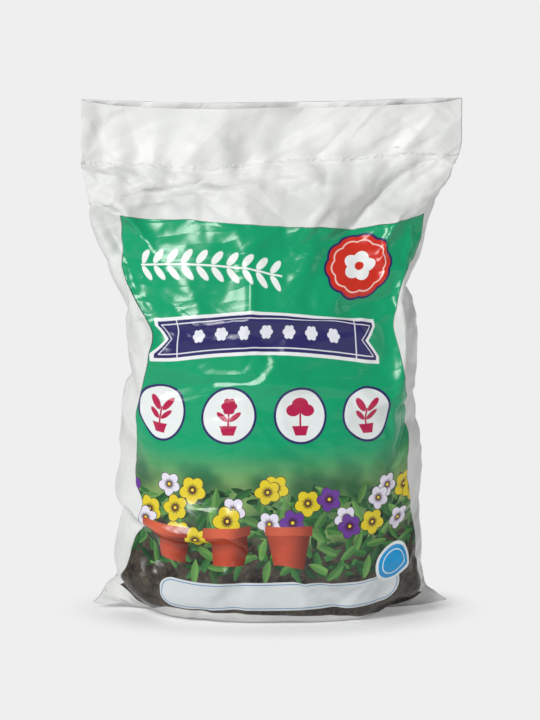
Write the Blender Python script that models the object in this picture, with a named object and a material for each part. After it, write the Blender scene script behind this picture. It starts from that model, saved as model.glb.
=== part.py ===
"""A bag of potting compost, filled, sealed across the top and stood up on its bottom.

The bag is a lay-flat tube of plastic film, welded across the bottom and heat-sealed a hand's
width below its mouth, so it has no side seams. Points on the film are named by two distances:
around, from the middle of the front to the right, and run, up the film from the bottom weld.
Metres, +Z up, the front facing -Y. The origin is on the floor under the middle of the bag.
"""

import bmesh
import bpy
import numpy as np

FLAT_WIDTH = 0.350  # the empty tube, lying flat
BODY_DEPTH = 0.164  # the full bag, front to back
SEAL_HEIGHT = 0.414  # from the floor to the heat seal
LIP_HEIGHT = 0.056  # from the heat seal to the mouth
LIP_DROP = 0.0055  # the front lip is cut this much lower than the rear one
MOUTH_GAP = 0.007  # between the lips, at the middle of the mouth
FILM = 0.0004  # one wall of film
SEAL_BAND = 0.006  # how far the films are fused above the seal line
CRINKLE_HEIGHT = 0.0018  # the small gathers along the heat seal
CRINKLE_LENGTH = 0.033
LIP_WAVE_HEIGHT = 0.003  # the slow bends of the lips
LIP_WAVE_LENGTH = 0.132
CORNER_START = 0.145  # right of this the lips bend back
CORNER_SLOPE = 0.28

PANEL_WIDTH = 0.296  # the printed panel on the front
PANEL_HEIGHT = 0.359
PANEL_MIDDLE = 0.003  # the print lies this far off the middle, to the right
PANEL_BOTTOM = 0.073  # up the film from the bottom weld

FOLD_HEIGHT = 0.010  # how far a strong fold stands out of the film
FOLD_REACH = 0.010  # how far beside its crest such a fold is down to about a third
FOLD_CLEAR_OF_FLOOR = 0.014  # folds die out over this height above the floor
FOLD_CLEAR_OF_SEAL = 0.045  # and over this run under the heat seal
COLUMNS = 42  # facets across the front, and as many across the back
ROWS = 54  # facets from the bottom weld to the heat seal
LIP_ROWS = 4  # facets from the fused band to the mouth

CREASE_INSET = 0.15  # the mouth ends this share of a facet inside the side creases
GIRTH = 2 * FLAT_WIDTH
HALF_WIDTH = FLAT_WIDTH / 2
HALF_DEPTH = BODY_DEPTH / 2

# The middle line of the front and of the back, from the bottom weld to the heat seal: how far
# out it is, as a share of HALF_DEPTH, and how high, as a share of SEAL_HEIGHT.
FRONT_LINE = [
    (0.00, 0.000), (0.34, 0.000), (0.66, 0.000), (0.82, 0.009), (0.92, 0.028), (0.97, 0.062),
    (1.00, 0.130), (1.00, 0.240), (0.98, 0.370), (0.93, 0.510), (0.84, 0.640), (0.71, 0.740),
    (0.52, 0.835), (0.30, 0.915), (0.11, 0.972), (0.00, 1.000),
]
BACK_LINE = [
    (0.00, 0.000), (0.34, 0.000), (0.60, 0.000), (0.77, 0.009), (0.88, 0.029), (0.95, 0.070),
    (1.00, 0.150), (1.00, 0.260), (0.96, 0.390), (0.91, 0.525), (0.83, 0.643), (0.73, 0.740),
    (0.56, 0.835), (0.34, 0.915), (0.12, 0.972), (0.00, 1.000),
]

# The outline seen from the front, from the ear up to the mouth: how far out, as a share of
# HALF_WIDTH, and how high, as a share of SEAL_HEIGHT. An ear is a corner of the bottom weld.
LEFT_OUTLINE = [
    (0.961, 0.011), (0.918, 0.027), (0.896, 0.048), (0.862, 0.074), (0.836, 0.092),
    (0.830, 0.109), (0.820, 0.147), (0.795, 0.198), (0.779, 0.239), (0.756, 0.274),
    (0.787, 0.293), (0.774, 0.320), (0.774, 0.437), (0.769, 0.516), (0.733, 0.565),
    (0.728, 0.662), (0.734, 0.688), (0.795, 0.729), (0.836, 0.761), (0.882, 0.802),
    (0.934, 0.855), (0.968, 0.918), (0.980, 0.966), (1.000, 0.992),
]
RIGHT_OUTLINE = [
    (0.941, 0.019), (0.839, 0.046), (0.812, 0.060), (0.803, 0.086), (0.789, 0.125),
    (0.785, 0.208), (0.775, 0.268), (0.764, 0.386), (0.745, 0.461), (0.718, 0.514),
    (0.724, 0.531), (0.730, 0.560), (0.722, 0.650), (0.703, 0.696), (0.695, 0.729),
    (0.731, 0.766), (0.767, 0.804), (0.801, 0.860), (0.840, 0.893), (0.888, 0.930),
    (0.947, 0.976), (0.988, 1.007), (1.000, 1.090),
]

# What changes up the film: its run, as a share of SEAL_RUN, how much higher its sides are than
# its middle, as a share of SEAL_HEIGHT, the share of its width that stays level, and the shape
# of its section, whose depth at a share out of the half width is
# (1 - share ** fullness) ** roundness.
SECTIONS = [
    (0.00, 0.000, 0.62, 2.0, 2.00), (0.08, 0.053, 0.58, 2.0, 1.20),
    (0.15, 0.087, 0.35, 2.3, 0.60), (0.22, 0.097, 0.32, 2.4, 0.50),
    (0.40, 0.082, 0.50, 2.4, 0.50), (0.66, 0.053, 0.45, 2.3, 0.52),
    (0.80, 0.034, 0.25, 2.1, 0.66), (0.90, 0.019, 0.10, 2.0, 0.90),
    (1.00, 0.000, 0.00, 2.0, 0.80),
]

# Where the seal lies above or below SEAL_HEIGHT, as a share of it, at shares of HALF_WIDTH.
SEAL_LINE = [
    (-1.00, -0.007), (-0.69, -0.012), (-0.34, -0.019), (0.06, -0.002), (0.46, 0.002),
    (0.69, 0.014), (1.00, 0.010),
]

# Folds in the film: a path of (around, run) in shares of HALF_WIDTH and SEAL_RUN, how far the
# crest stands out of the film, or sinks in, in shares of FOLD_HEIGHT, and how far the fold
# reaches to the left and to the right of its path, in shares of FOLD_REACH. A fold that reaches
# much further on one side hangs over the film on the other. The middle of the front is at 0 and
# the middle of the back at 2.
FOLDS = [
    # right shoulder: film drawn from the seal's end down to the full front
    ([(0.91, 0.996), (0.64, 0.928), (0.45, 0.843)], -1.20, 1.4, 0.9),
    ([(0.98, 0.968), (0.77, 0.876), (0.67, 0.787)], 1.05, 1.2, 1.2),
    ([(0.33, 0.980), (0.34, 0.914), (0.23, 0.853)], 0.60, 1.2, 1.6),
    ([(0.08, 0.930), (0.14, 0.850), (0.10, 0.760)], -0.55, 1.8, 1.8),
    ([(0.45, 0.860), (0.33, 0.800), (0.22, 0.720)], -0.45, 1.2, 1.2),
    ([(0.42, 0.830), (0.60, 0.800), (0.78, 0.820)], -0.45, 1.2, 1.2),
    ([(0.52, 0.890), (0.64, 0.935), (0.76, 0.960)], -0.25, 0.7, 0.7),
    ([(0.70, 0.790), (0.78, 0.800), (0.84, 0.830)], -0.25, 1.2, 1.2),
    # left shoulder: a long fold under the seal, and the facets at the seal's end
    ([(-0.69, 0.928), (-0.38, 0.968), (0.00, 0.984)], -1.05, 0.9, 0.9),
    ([(-0.73, 0.896), (-0.35, 0.934), (0.07, 0.952)], 0.85, 1.0, 2.2),
    ([(-0.20, 0.930), (0.00, 0.950), (0.28, 0.955)], 0.45, 1.2, 0.8),
    ([(-0.20, 0.930), (-0.35, 0.840), (-0.55, 0.720)], 0.35, 1.8, 1.8),
    ([(-0.10, 0.940), (-0.10, 0.800), (-0.12, 0.690)], 0.20, 0.8, 1.2),
    ([(-0.70, 0.860), (-0.60, 0.870), (-0.50, 0.900)], -0.50, 1.8, 0.8),
    ([(-0.90, 0.994), (-0.83, 0.904), (-0.69, 0.833)], 0.75, 1.4, 1.0),
    ([(-0.92, 0.880), (-0.80, 0.800), (-0.72, 0.700)], -0.50, 1.2, 1.2),
    ([(-0.80, 0.905), (-0.70, 0.880), (-0.60, 0.850)], -0.40, 1.2, 1.2),
    ([(-0.76, 0.950), (-0.68, 0.958), (-0.60, 0.965)], 0.30, 0.8, 0.8),
    ([(-0.96, 0.904), (-0.87, 0.803), (-0.86, 0.693)], -0.85, 1.0, 1.0),
    # left side: the full front hangs over the film that is drawn in beside it
    ([(-0.85, 0.773), (-0.77, 0.693), (-0.67, 0.614), (-0.72, 0.526)], 1.35, 0.7, 3.0),
    ([(-0.86, 0.538), (-1.00, 0.522), (-1.17, 0.538)], -0.70, 0.9, 0.9),
    ([(-0.78, 0.480), (-0.76, 0.420), (-0.60, 0.360)], -0.25, 1.8, 1.8),
    ([(-1.04, 0.460), (-0.98, 0.360), (-1.02, 0.270)], 0.35, 1.8, 2.6),
    # low on the left: the longest fold, where the contents have settled
    ([(-1.02, 0.297), (-0.75, 0.313), (-0.50, 0.301), (-0.21, 0.301), (0.00, 0.249)],
     1.55, 3.2, 0.6),
    ([(-1.04, 0.257), (-0.86, 0.269), (-0.63, 0.253)], -0.95, 0.9, 1.6),
    ([(-0.62, 0.270), (-0.45, 0.260), (-0.20, 0.280)], -0.30, 1.8, 0.8),
    ([(-0.74, 0.312), (-0.50, 0.305), (-0.25, 0.305)], 0.20, 0.6, 0.6),
    ([(-0.74, 0.245), (-0.62, 0.240), (-0.50, 0.235)], -0.30, 1.0, 1.0),
    ([(-0.10, 0.280), (-0.02, 0.250), (0.04, 0.215)], -0.20, 1.2, 1.2),
    ([(0.26, 0.195), (0.34, 0.172), (0.42, 0.160)], -0.35, 1.2, 1.2),
    ([(-0.15, 0.330), (0.02, 0.260), (0.18, 0.215), (0.42, 0.165)], -0.80, 0.8, 1.8),
    ([(0.05, 0.560), (0.00, 0.420), (-0.12, 0.360)], 0.20, 0.8, 3.6),
    ([(0.00, 0.430), (0.10, 0.360), (0.17, 0.300)], 0.30, 2.6, 3.6),
    ([(0.40, 0.300), (0.58, 0.240), (0.80, 0.220)], 0.25, 3.6, 1.8),
    # right side: a ridge down the edge of the front, and short folds below it
    ([(0.81, 0.747), (0.77, 0.663), (0.71, 0.542)], 1.30, 2.8, 0.8),
    ([(1.01, 0.430), (0.83, 0.466), (0.67, 0.414)], -0.55, 0.9, 1.2),
    ([(1.03, 0.482), (0.86, 0.526), (0.69, 0.526)], 0.55, 0.9, 1.2),
    ([(0.80, 0.497), (0.94, 0.485), (1.01, 0.455)], -0.35, 1.0, 1.2),
    ([(0.80, 0.760), (0.77, 0.680), (0.74, 0.580)], 0.20, 0.6, 0.8),
    # bottom corners: film drawn in above the ears
    ([(-1.01, 0.124), (-0.90, 0.112), (-0.73, 0.116)], -0.65, 0.9, 0.9),
    ([(-0.96, 0.181), (-0.79, 0.173), (-0.64, 0.193)], 0.70, 1.0, 1.2),
    ([(0.67, 0.237), (0.80, 0.165), (0.91, 0.092)], 1.10, 1.0, 1.0),
    ([(0.98, 0.169), (0.88, 0.124), (0.75, 0.104)], -0.85, 0.9, 0.9),
    # shallow swells of the front, and the dents between them
    ([(-0.40, 0.671), (0.00, 0.687), (0.46, 0.679)], 0.50, 1.8, 1.8),
    ([(-0.29, 0.562), (0.06, 0.574), (0.46, 0.558)], 0.45, 1.4, 1.4),
    ([(-0.13, 0.787), (-0.10, 0.727), (-0.14, 0.663)], 0.30, 1.0, 1.0),
    ([(-0.62, 0.610), (-0.45, 0.610), (-0.30, 0.600)], 0.30, 2.6, 1.8),
    ([(0.35, 0.705), (0.55, 0.710), (0.75, 0.710)], -0.25, 0.8, 0.8),
    ([(-0.05, 0.640), (0.25, 0.620), (0.60, 0.600)], -0.45, 2.6, 1.8),
    ([(0.10, 0.550), (0.40, 0.530), (0.60, 0.505)], -0.25, 0.8, 0.8),
    # the back's shoulders
    ([(1.14, 0.988), (1.39, 0.928), (1.62, 0.839)], -0.90, 1.4, 1.2),
    ([(1.09, 0.940), (1.29, 0.859), (1.36, 0.763)], 0.75, 1.4, 1.4),
    ([(1.70, 0.900), (1.68, 0.830), (1.80, 0.760)], -0.50, 1.8, 1.2),
    ([(1.50, 0.810), (1.62, 0.815), (1.74, 0.820)], -0.25, 1.2, 1.2),
    ([(1.86, 0.968), (1.98, 0.884), (1.94, 0.803)], 0.65, 1.6, 1.4),
    ([(1.97, 0.860), (1.95, 0.740), (2.02, 0.680), (2.20, 0.650)], 0.35, 1.8, 1.2),
    ([(2.45, 0.860), (2.40, 0.800), (2.38, 0.730)], -0.60, 1.2, 1.2),
    ([(2.83, 0.984), (2.58, 0.920), (2.42, 0.823)], -1.00, 1.2, 1.4),
    ([(2.62, 0.940), (2.78, 0.900), (2.95, 0.870)], 0.40, 2.6, 3.6),
    # the back's sides, and the settled contents
    ([(1.19, 0.703), (1.23, 0.602), (1.20, 0.502)], 0.70, 1.0, 3.0),
    ([(1.20, 0.705), (1.22, 0.650), (1.23, 0.600)], 0.40, 0.6, 0.6),
    ([(1.24, 0.460), (1.21, 0.410), (1.18, 0.370)], -0.30, 1.0, 1.0),
    ([(1.22, 0.720), (1.45, 0.740), (1.65, 0.700), (1.85, 0.660)], 0.40, 1.8, 2.6),
    ([(2.35, 0.660), (2.56, 0.670), (2.76, 0.590)], 0.35, 1.2, 3.6),
    ([(2.78, 0.683), (2.81, 0.582), (2.75, 0.462)], 0.90, 3.0, 1.0),
    ([(2.80, 0.465), (2.86, 0.450), (2.93, 0.440)], -0.30, 1.2, 1.0),
    ([(2.24, 0.640), (2.30, 0.670), (2.36, 0.700)], 0.20, 0.9, 0.9),
    ([(1.89, 0.602), (2.23, 0.582), (2.51, 0.610)], 0.45, 1.6, 1.6),
    ([(1.92, 0.620), (1.88, 0.480), (1.85, 0.380), (1.86, 0.240)], 0.55, 1.2, 1.8),
    ([(2.12, 0.520), (2.18, 0.420), (2.20, 0.360)], 0.35, 3.6, 1.8),
    ([(2.05, 0.420), (2.08, 0.300), (2.14, 0.220)], -0.45, 0.8, 1.2),
    ([(2.13, 0.285), (2.11, 0.240), (2.06, 0.180)], -0.35, 1.1, 1.1),
    ([(1.91, 0.345), (1.97, 0.338), (2.02, 0.330)], -0.25, 1.0, 1.0),
    ([(2.25, 0.370), (2.45, 0.380), (2.65, 0.410)], -0.50, 1.8, 1.8),
    ([(1.12, 0.301), (1.43, 0.325), (1.83, 0.305), (2.11, 0.333)], 0.95, 3.0, 0.9),
    ([(1.20, 0.290), (1.45, 0.290), (1.75, 0.300)], -0.35, 3.6, 0.8),
    ([(2.34, 0.241), (2.69, 0.257), (2.93, 0.237)], 0.80, 2.6, 0.9),
    ([(1.20, 0.141), (1.39, 0.116), (1.58, 0.145)], -0.65, 1.0, 1.0),
    ([(2.51, 0.141), (2.67, 0.120), (2.86, 0.145)], -0.70, 1.0, 1.0),
]


def through(x, y, at):
    """The smooth curve through the points (x, y), read at the values in at.

    It is level where the points turn, so it doesn't swing past them.
    """
    x, y = np.asarray(x, float), np.asarray(y, float)
    step = np.diff(x)
    rise = np.diff(y) / step
    slope = np.concatenate([rise[:1], (rise[:-1] + rise[1:]) / 2, rise[-1:]])
    slope[1:-1][rise[:-1] * rise[1:] <= 0] = 0
    at = np.clip(at, x[0], x[-1])
    i = np.clip(np.searchsorted(x, at) - 1, 0, len(x) - 2)
    t = (at - x[i]) / step[i]
    start = (1 + 2 * t) * (1 - t) ** 2 * y[i] + t * (1 - t) ** 2 * step[i] * slope[i]
    end = t * t * (3 - 2 * t) * y[i + 1] + t * t * (t - 1) * step[i] * slope[i + 1]
    return start + end


def lengths(x, y):
    """How far each point of a line is from its start, along the line."""
    return np.concatenate([[0], np.cumsum(np.hypot(np.diff(x), np.diff(y)))])


def middle_line(points):
    """A smooth line through the points: how far along, how far out and how high."""
    out = np.array([point[0] for point in points]) * HALF_DEPTH
    height = np.array([point[1] for point in points]) * SEAL_HEIGHT
    chord = lengths(out, height)
    fine = np.linspace(0, chord[-1], 400)
    out, height = through(chord, out, fine), through(chord, height, fine)
    return lengths(out, height), out, height


FRONT_MIDDLE = middle_line(FRONT_LINE)
BACK_MIDDLE = middle_line(BACK_LINE)
SEAL_RUN = FRONT_MIDDLE[0][-1]
MOUTH_RUN = SEAL_RUN + LIP_HEIGHT


def across_and_side(around):
    """The distance to the right of the middle line, and -1 on the front or 1 on the back."""
    around = (around + HALF_WIDTH) % GIRTH - HALF_WIDTH
    on_front = around <= HALF_WIDTH + FILM
    return (around, -1) if on_front else (FLAT_WIDTH - around, 1)


def mouth_drop(share, side):
    """How much lower the mouth is cut: the front lip is lower, and both dip in the middle."""
    return LIP_DROP * ((side < 0) * (1 - share**8) + 0.5 * (1 - share**2))


def bend(x, height):
    """How far back the sealed films lie: crinkled at the seal, and bent back at the right."""
    up = (height - SEAL_HEIGHT) / LIP_HEIGHT
    crinkle = CRINKLE_HEIGHT * np.sin(2 * np.pi * x / CRINKLE_LENGTH) * np.exp(-((up / 0.4) ** 2))
    wave = LIP_WAVE_HEIGHT * np.sin(2 * np.pi * x / LIP_WAVE_LENGTH + 0.8) * np.exp(-((up - 0.4) ** 2))
    corner = CORNER_SLOPE * max(0, x - CORNER_START) * np.clip(up + 0.4, 0, 1.2)
    return (crinkle + wave + corner) * np.clip(up + 1, 0, 1)


def film_point(around, run):
    """The film without its folds: x, y and z of its outer face."""
    across, side = across_and_side(around)
    share = min(1, abs(across) / HALF_WIDTH)
    along, out_line, height_line = FRONT_MIDDLE if side < 0 else BACK_MIDDLE
    body_run = min(run, SEAL_RUN)
    along = along * SEAL_RUN / along[-1]
    out = np.interp(body_run, along, out_line)
    middle = np.interp(body_run, along, height_line)
    rows = np.array(SECTIONS)
    up = body_run / SEAL_RUN
    lift, level, fullness, roundness = (through(rows[:, 0], rows[:, k], up) for k in range(1, 5))
    outline = np.array(LEFT_OUTLINE if across < 0 else RIGHT_OUTLINE)
    lift = SEAL_HEIGHT * (lift + outline[0][1] * (1 - up) ** 8)
    height = middle + lift * max(0, (share - level) / (1 - level)) ** 2
    lip = max(0, run - SEAL_RUN) / LIP_HEIGHT
    height += lip * (LIP_HEIGHT - mouth_drop(share, side))
    outline_at = (middle + lift + lip * LIP_HEIGHT) / SEAL_HEIGHT
    half = through(outline[:, 1], outline[:, 0], outline_at) * HALF_WIDTH
    angle = np.linspace(0, np.pi / 2, 120)
    depth = np.clip(1 - np.sin(angle) ** fullness, 0, 1) ** roundness
    measure = lengths(half * np.sin(angle), out * depth)
    at = np.interp(share * measure[-1], measure, angle)
    x = half * np.sin(at) * np.sign(across)
    thin = FILM + lip * MOUTH_GAP / 2 * (1 - share**2)
    y = side * max(out * max(0, 1 - np.sin(at) ** fullness) ** roundness, thin * (share < 1))
    line = np.array(SEAL_LINE)
    near_seal = np.exp(-(((run - SEAL_RUN) / FOLD_CLEAR_OF_SEAL) ** 2))
    height += SEAL_HEIGHT * through(line[:, 0], line[:, 1], x / HALF_WIDTH) * near_seal
    return x, y + bend(x, height), height


def fold_height(around, run, path, height, reach_left, reach_right):
    """How far one fold lifts the film, at arrays of places on it."""
    path = np.array(path) * (HALF_WIDTH, SEAL_RUN)
    steps = np.diff(path, axis=0)
    step_lengths = np.hypot(steps[:, 0], steps[:, 1])
    nearest = np.full(np.shape(around), np.inf)
    lifted = np.zeros(np.shape(around))
    middle = path[:, 0].mean()
    around = (around - middle + GIRTH / 2) % GIRTH - GIRTH / 2 + middle
    before = 0
    for start, step, length in zip(path, steps, step_lengths):
        east, north = around - start[0], run - start[1]
        t = np.clip((east * step[0] + north * step[1]) / length**2, 0, 1)
        distance = np.hypot(east - t * step[0], north - t * step[1])
        on_left = step[0] * north - step[1] * east > 0
        reach = np.where(on_left, reach_left, reach_right) * FOLD_REACH
        along = (before + t * length) / step_lengths.sum()
        crest = height * FOLD_HEIGHT * np.sin(np.pi * (0.08 + 0.84 * along)) ** 0.7
        value = crest * np.exp(-distance / reach)
        lifted = np.where(distance < nearest, value, lifted)
        nearest = np.minimum(nearest, distance)
        before += length
    return lifted


def row_of_points(arounds, run):
    """One row of points round the film, at the same run."""
    return np.array([film_point(around, run) for around in arounds])


def folded(points, arounds, runs):
    """Rows of points with the folds raised out of the film, and none of it under the floor."""
    around_step = np.roll(points, -1, axis=1) - np.roll(points, 1, axis=1)
    run_step = np.gradient(points, axis=0)
    outward = np.cross(around_step, run_step)
    outward /= np.maximum(np.linalg.norm(outward, axis=2, keepdims=True), 1e-12)
    around, run = np.meshgrid(arounds, runs)
    lifted = sum(fold_height(around, run, *fold) for fold in FOLDS)
    above_floor = np.clip(points[:, :, 2] / FOLD_CLEAR_OF_FLOOR, 0, 1)
    under_seal = np.clip((SEAL_RUN - run) / FOLD_CLEAR_OF_SEAL, 0, 1)
    points = points + outward * (lifted * above_floor * under_seal)[:, :, None]
    points[:, :, 2] = np.maximum(points[:, :, 2], 0)
    return points


def inside_of_lips(outer_row):
    """The row on the inner faces of the lips that lies behind one row of their outer faces."""
    inner = outer_row.copy()
    inner[1:COLUMNS, 1] += FILM
    inner[COLUMNS + 1 :, 1] -= FILM
    for crease in (0, COLUMNS):
        beside = (outer_row[crease - 1] + outer_row[crease + 1]) / 2
        inner[crease] += CREASE_INSET * (beside - outer_row[crease])
    return inner


def shared_line(bm, points):
    """Vertices where front and back meet in one line, given once for each side."""
    behind = points[-np.arange(COLUMNS + 1) % len(points)]
    middle = [bm.verts.new(place) for place in (points[: COLUMNS + 1] + behind) / 2]
    return middle + middle[-2:0:-1]


def film_mesh():
    """The whole film as one closed surface, with its place on the film as a UV map."""
    arounds = np.arange(2 * COLUMNS) * FLAT_WIDTH / COLUMNS - HALF_WIDTH
    body_runs = np.linspace(0, SEAL_RUN, ROWS + 1)
    lip_runs = np.linspace(SEAL_RUN + SEAL_BAND, MOUTH_RUN, LIP_ROWS + 1)
    outer_runs = np.concatenate([body_runs, lip_runs])
    outer = np.array([row_of_points(arounds, run) for run in outer_runs])
    outer = folded(outer, arounds, outer_runs)

    bm = bmesh.new()
    rows = [shared_line(bm, outer[0])]
    rows += [[bm.verts.new(place) for place in row] for row in outer[1:]]
    for row in outer[: -LIP_ROWS - 1 : -1]:
        rows.append([bm.verts.new(place) for place in inside_of_lips(row)])
    rows.append(shared_line(bm, inside_of_lips(outer[-LIP_ROWS - 1])))
    runs = np.concatenate([outer_runs, lip_runs[::-1]])

    film = bm.loops.layers.uv.new("film")
    for i, (low, high) in enumerate(zip(rows[:-1], rows[1:])):
        for j, around in enumerate(arounds):
            k = (j + 1) % len(arounds)
            face = bm.faces.new([low[j], low[k], high[k], high[j]])
            on_front_outside = j < COLUMNS and i < len(outer_runs)
            face.material_index = int(on_front_outside)  # 0 is plain_film, 1 is printed_film
            right = around + FLAT_WIDTH / COLUMNS
            corners = [(around, runs[i]), (right, runs[i]), (right, runs[i + 1]), (around, runs[i + 1])]
            for loop, corner in zip(face.loops, corners):
                loop[film].uv = corner
    mesh = bpy.data.meshes.new("bag")
    bm.to_mesh(mesh)
    bm.free()
    mesh.shade_smooth()
    mesh.set_sharp_from_angle(angle=np.radians(60))
    return mesh


def srgb(red, green, blue):
    """A colour from its display values, 0 to 255, as the shader's linear values."""
    display = np.array([red, green, blue]) / 255
    linear = np.where(display < 0.04045, display / 12.92, ((display + 0.055) / 1.055) ** 2.4)
    return (*linear, 1)


WHITE_FILM = srgb(226, 228, 226)
GREEN = srgb(12, 150, 96)
MEADOW = srgb(92, 138, 84)
SOIL = srgb(62, 58, 54)
WHITE = srgb(222, 228, 227)
NAVY = srgb(38, 35, 95)
RED = srgb(200, 44, 26)
CRIMSON = srgb(178, 24, 72)
TERRACOTTA = srgb(160, 60, 42)
YELLOW = srgb(215, 200, 44)
VIOLET = srgb(96, 60, 140)
BLUE = srgb(24, 145, 205)
PALE_BLUE = srgb(206, 216, 222)

# The print: colour, middle and half size as shares of the panel, and squareness, which is 2
# for an ellipse and rises towards a rectangle. Each shape covers the ones before it.
PRINT = [
    (GREEN, 0.50, 0.50, 0.50, 0.50, 60),
    (MEADOW, 0.50, 0.33, 0.50, 0.09, 60),
    (SOIL, 0.50, 0.12, 0.50, 0.12, 40),
    (WHITE, 0.47, 0.705, 0.385, 0.060, 5),
    (NAVY, 0.47, 0.705, 0.372, 0.049, 5),
    (NAVY, 0.81, 0.885, 0.128, 0.084, 3),
    (RED, 0.81, 0.885, 0.120, 0.077, 3),
    (PALE_BLUE, 0.54, 0.055, 0.390, 0.038, 4),
]
MEDALLIONS = (0.15, 0.37, 0.59, 0.81)
for u in MEDALLIONS:
    PRINT.append((NAVY, u, 0.515, 0.083, 0.068, 2))
    PRINT.append((WHITE, u, 0.515, 0.076, 0.062, 2))
    PRINT.append((CRIMSON, u, 0.530, 0.026, 0.034, 2))
    PRINT.append((CRIMSON, u, 0.480, 0.004, 0.030, 6))
PRINT.append((WHITE, 0.31, 0.872, 0.230, 0.003, 8))
for number in range(10):
    for v in (0.851, 0.893):
        PRINT.append((WHITE, 0.104 + 0.046 * number, v, 0.012, 0.020, 2))
POTS = (0.19, 0.37, 0.55)
for u in POTS:
    PRINT.append((TERRACOTTA, u, 0.185, 0.066, 0.054, 6))
    PRINT.append((RED, u, 0.236, 0.078, 0.011, 8))
for u, v in ((0.10, 0.280), (0.22, 0.300), (0.37, 0.275), (0.52, 0.300), (0.86, 0.265)):
    PRINT.append((GREEN, u, v - 0.020, 0.052, 0.022, 2))
    PRINT.append((YELLOW, u, v, 0.030, 0.025, 2))
for u, v in ((0.62, 0.285), (0.72, 0.230), (0.95, 0.215)):
    PRINT.append((GREEN, u, v - 0.020, 0.048, 0.022, 2))
    PRINT.append((VIOLET, u, v, 0.028, 0.023, 2))
PRINT.append((WHITE, 0.90, 0.105, 0.060, 0.050, 2))
PRINT.append((BLUE, 0.90, 0.105, 0.051, 0.042, 2))


def film_material(name):
    """Glossy white polythene."""
    material = bpy.data.materials.new(name)
    material.use_nodes = True
    shader = material.node_tree.nodes["Principled BSDF"]
    shader.inputs["Base Color"].default_value = WHITE_FILM
    shader.inputs["Roughness"].default_value = 0.32
    shader.inputs["Metallic"].default_value = 0
    return material


def add_node(material, kind, inputs, **settings):
    """A shader node with its settings, and values or links for its inputs by name or place."""
    node = material.node_tree.nodes.new(kind)
    for setting, value in settings.items():
        setattr(node, setting, value)
    for socket, value in inputs.items():
        if isinstance(value, bpy.types.NodeSocket):
            material.node_tree.links.new(value, node.inputs[socket])
        else:
            node.inputs[socket].default_value = value
    return node


def print_on(material, shapes):
    """Lay flat shapes of colour on the film, each where |x| ** n + |y| ** n is less than 1."""
    vector, number = "ShaderNodeVectorMath", "ShaderNodeMath"
    film = add_node(material, "ShaderNodeUVMap", {}, uv_map="film").outputs["UV"]
    colour = WHITE_FILM
    for paint, u, v, half_u, half_v, squareness in shapes:
        middle = (PANEL_MIDDLE + (u - 0.5) * PANEL_WIDTH, PANEL_BOTTOM + v * PANEL_HEIGHT, 0)
        half_size = (half_u * PANEL_WIDTH, half_v * PANEL_HEIGHT, 1)
        offset = add_node(material, vector, {0: film, 1: middle}, operation="SUBTRACT")
        share = add_node(material, vector, {0: offset.outputs[0], 1: half_size}, operation="DIVIDE")
        share = add_node(material, vector, {0: share.outputs[0]}, operation="ABSOLUTE")
        share = add_node(material, "ShaderNodeSeparateXYZ", {0: share.outputs[0]})
        x = add_node(material, number, {0: share.outputs[0], 1: squareness}, operation="POWER")
        y = add_node(material, number, {0: share.outputs[1], 1: squareness}, operation="POWER")
        total = add_node(material, number, {0: x.outputs[0], 1: y.outputs[0]}, operation="ADD")
        inside = add_node(material, number, {0: total.outputs[0], 1: 1}, operation="LESS_THAN")
        # a colour mix keeps its factor in socket 0 and its two colours in 6 and 7
        layers = {0: inside.outputs[0], 6: colour, 7: paint}
        colour = add_node(material, "ShaderNodeMix", layers, data_type="RGBA").outputs[2]
    base = material.node_tree.nodes["Principled BSDF"].inputs["Base Color"]
    material.node_tree.links.new(colour, base)


for item in list(bpy.data.objects):
    bpy.data.objects.remove(item)

bag = bpy.data.objects.new("bag", film_mesh())
bpy.context.scene.collection.objects.link(bag)
plain_film = film_material("plain_film")
printed_film = film_material("printed_film")
print_on(printed_film, PRINT)
bag.data.materials.append(plain_film)
bag.data.materials.append(printed_film)
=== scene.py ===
"""A full compost bag of printed plastic film, stood up on a pale floor."""

import math

import bpy
import numpy as np
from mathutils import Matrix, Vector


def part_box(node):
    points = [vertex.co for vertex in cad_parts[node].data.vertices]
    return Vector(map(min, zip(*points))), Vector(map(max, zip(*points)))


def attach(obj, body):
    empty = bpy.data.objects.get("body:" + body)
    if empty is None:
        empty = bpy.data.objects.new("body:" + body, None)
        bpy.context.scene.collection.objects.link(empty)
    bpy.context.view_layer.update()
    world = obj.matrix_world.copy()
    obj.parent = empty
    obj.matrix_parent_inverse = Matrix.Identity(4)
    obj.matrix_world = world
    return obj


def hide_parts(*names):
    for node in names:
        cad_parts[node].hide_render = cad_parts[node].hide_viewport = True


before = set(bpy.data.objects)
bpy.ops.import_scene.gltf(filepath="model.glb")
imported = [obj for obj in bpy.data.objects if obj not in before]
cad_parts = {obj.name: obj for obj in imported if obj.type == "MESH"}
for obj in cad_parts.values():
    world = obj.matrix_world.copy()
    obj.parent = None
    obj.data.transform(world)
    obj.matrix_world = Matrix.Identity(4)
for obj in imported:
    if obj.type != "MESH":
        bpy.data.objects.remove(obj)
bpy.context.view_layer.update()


# The film.
# One lay-flat tube of thin white polythene, printed on the front before filling. It is welded
# across the bottom, filled, and heat-sealed below its mouth, so it has no side seams.

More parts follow.
